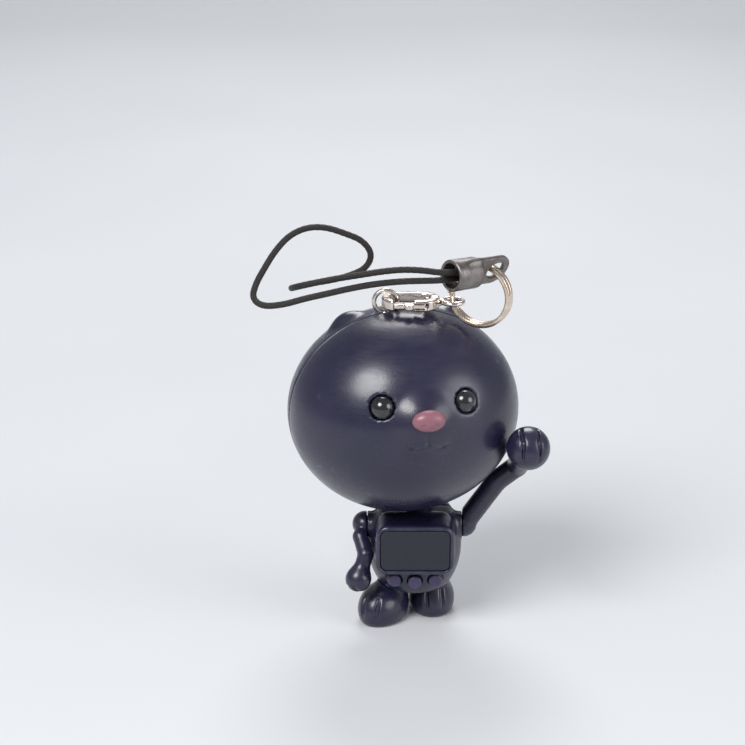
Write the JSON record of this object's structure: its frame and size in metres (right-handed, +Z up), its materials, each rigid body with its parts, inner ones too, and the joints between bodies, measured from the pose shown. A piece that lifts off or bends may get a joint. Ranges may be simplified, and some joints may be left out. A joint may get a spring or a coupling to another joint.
{
  "type": "virtual pet keychain",
  "caption": "Small animal-shaped virtual pet toy with a belly display and push buttons, hung on a lobster clasp, split ring and cord loop.",
  "frame": {"origin": "point on the sole plane under the neck, where the figure stands", "axes": "+Z up through the figure, -Y out of its belly display, +X to the side of its raised arm, towards which the face is turned"},
  "size_m": [0.0513, 0.0386, 0.0743],
  "materials": {
    "navy_plastic": "glossy moulded ABS, deep navy",
    "nose_plastic": "satin moulded ABS, dusky rose",
    "black_gloss": "polished black beads",
    "button_plastic": "satin dark violet ABS",
    "smoked_lens": "smoked clear acrylic",
    "lcd": "liquid crystal panel switched off, dark grey-green",
    "grey_rubber": "striped elastomer",
    "board": "green solder mask",
    "epoxy": "black epoxy blob",
    "steel": "plain steel",
    "cell_can": "nickel-plated steel can",
    "brass": "brass and ceramic disc",
    "screw_steel": "zinc-plated steel",
    "pin_plastic": "moulded acetal, navy",
    "clasp_chrome": "nickel-plated zinc",
    "ring_chrome": "nickel-plated spring steel",
    "cap_metal": "gunmetal-plated brass",
    "cord_fabric": "braided black polyester"
  },
  "bodies": {
    "torso": {"torso_front_shell": "navy_plastic", "torso_rear_shell": "navy_plastic", "neck_pin": "pin_plastic", "case_screws": "screw_steel", "display_lens": "smoked_lens", "display_panel": "lcd", "display_connector": "grey_rubber", "circuit_board": "board", "controller_chip": "epoxy", "switch_domes": "steel", "buzzer_disc": "brass", "button_cell_front": "cell_can", "button_cell_rear": "cell_can", "contact_spring": "steel", "contact_strip": "steel", "foot_left": "navy_plastic", "foot_right": "navy_plastic"},
    "head": {"head_front_shell": "navy_plastic", "head_rear_shell": "navy_plastic", "eye_left": "black_gloss", "eye_right": "black_gloss", "nose": "nose_plastic", "strap_eyelet": "clasp_chrome"},
    "arm_left": {"arm_left": "navy_plastic"},
    "arm_right": {"arm_right": "navy_plastic"},
    "button_left": {"button_left": "button_plastic"},
    "button_middle": {"button_middle": "button_plastic"},
    "button_right": {"button_right": "button_plastic"},
    "door": {"battery_door": "navy_plastic", "door_screw": "screw_steel"},
    "clasp": {"clasp_body": "clasp_chrome", "lever_pin": "screw_steel"},
    "lever": {"clasp_lever": "clasp_chrome"},
    "swivel": {"swivel_eye": "clasp_chrome"},
    "ring": {"split_ring": "ring_chrome"},
    "cap": {"cord_cap": "cap_metal", "strap_cord": "cord_fabric"}
  },
  "joints": [
    {"name": "head_turn", "type": "hinge", "parent": "torso", "child": "head", "pos_m": [0.0008, 0, 0.0212], "axis": [-0.1564, 0, 0.9877], "range_deg": [-5, 25]},
    {"name": "arm_left_swing", "type": "hinge", "parent": "torso", "child": "arm_left", "pos_m": [-0.0088, 0, 0.0174], "axis": [1, 0, 0], "range_deg": [-75, 0]},
    {"name": "arm_right_swing", "type": "hinge", "parent": "torso", "child": "arm_right", "pos_m": [0.0088, 0, 0.0174], "axis": [1, 0, 0], "range_deg": [0, 90]},
    {"name": "button_left_press", "type": "slide", "parent": "torso", "child": "button_left", "axis": [0, 1, 0], "range_m": [0, 0.0005], "stiffness_N_per_m": 400, "springref_m": -0.0005},
    {"name": "button_middle_press", "type": "slide", "parent": "torso", "child": "button_middle", "axis": [0, 1, 0], "range_m": [0, 0.0005], "stiffness_N_per_m": 400, "springref_m": -0.0005},
    {"name": "button_right_press", "type": "slide", "parent": "torso", "child": "button_right", "axis": [0, 1, 0], "range_m": [0, 0.0005], "stiffness_N_per_m": 400, "springref_m": -0.0005},
    {"name": "door_lift_off", "type": "slide", "parent": "torso", "child": "door", "axis": [0, 1, 0], "range_m": [0, 0.012]},
    {"name": "clasp_swing", "type": "hinge", "parent": "head", "child": "clasp", "pos_m": [-0.00522, 0, 0.05921], "axis": [0, 1, 0], "range_deg": [-35, 0]},
    {"name": "lever_open", "type": "hinge", "parent": "clasp", "child": "lever", "pos_m": [0.00078, -0.00235, 0.05921], "axis": [0, 0, 1], "range_deg": [-10, 0], "stiffness_Nm_per_rad": 0.005, "springref_deg": 5.73},
    {"name": "swivel_spin", "type": "hinge", "parent": "clasp", "child": "swivel", "pos_m": [0.0064, 0, 0.05921], "axis": [1, 0, 0], "range_deg": [-60, 0]},
    {"name": "ring_swing", "type": "hinge", "parent": "swivel", "child": "ring", "pos_m": [0.0064, 0, 0.05921], "axis": [0, 0, 1], "range_deg": [-10, 30]},
    {"name": "cap_swing", "type": "hinge", "parent": "ring", "child": "cap", "pos_m": [0.01323, -0.00348, 0.06617], "axis": [-0.7867, 0.4008, 0.4695], "range_deg": [0, 100]}
  ]
}
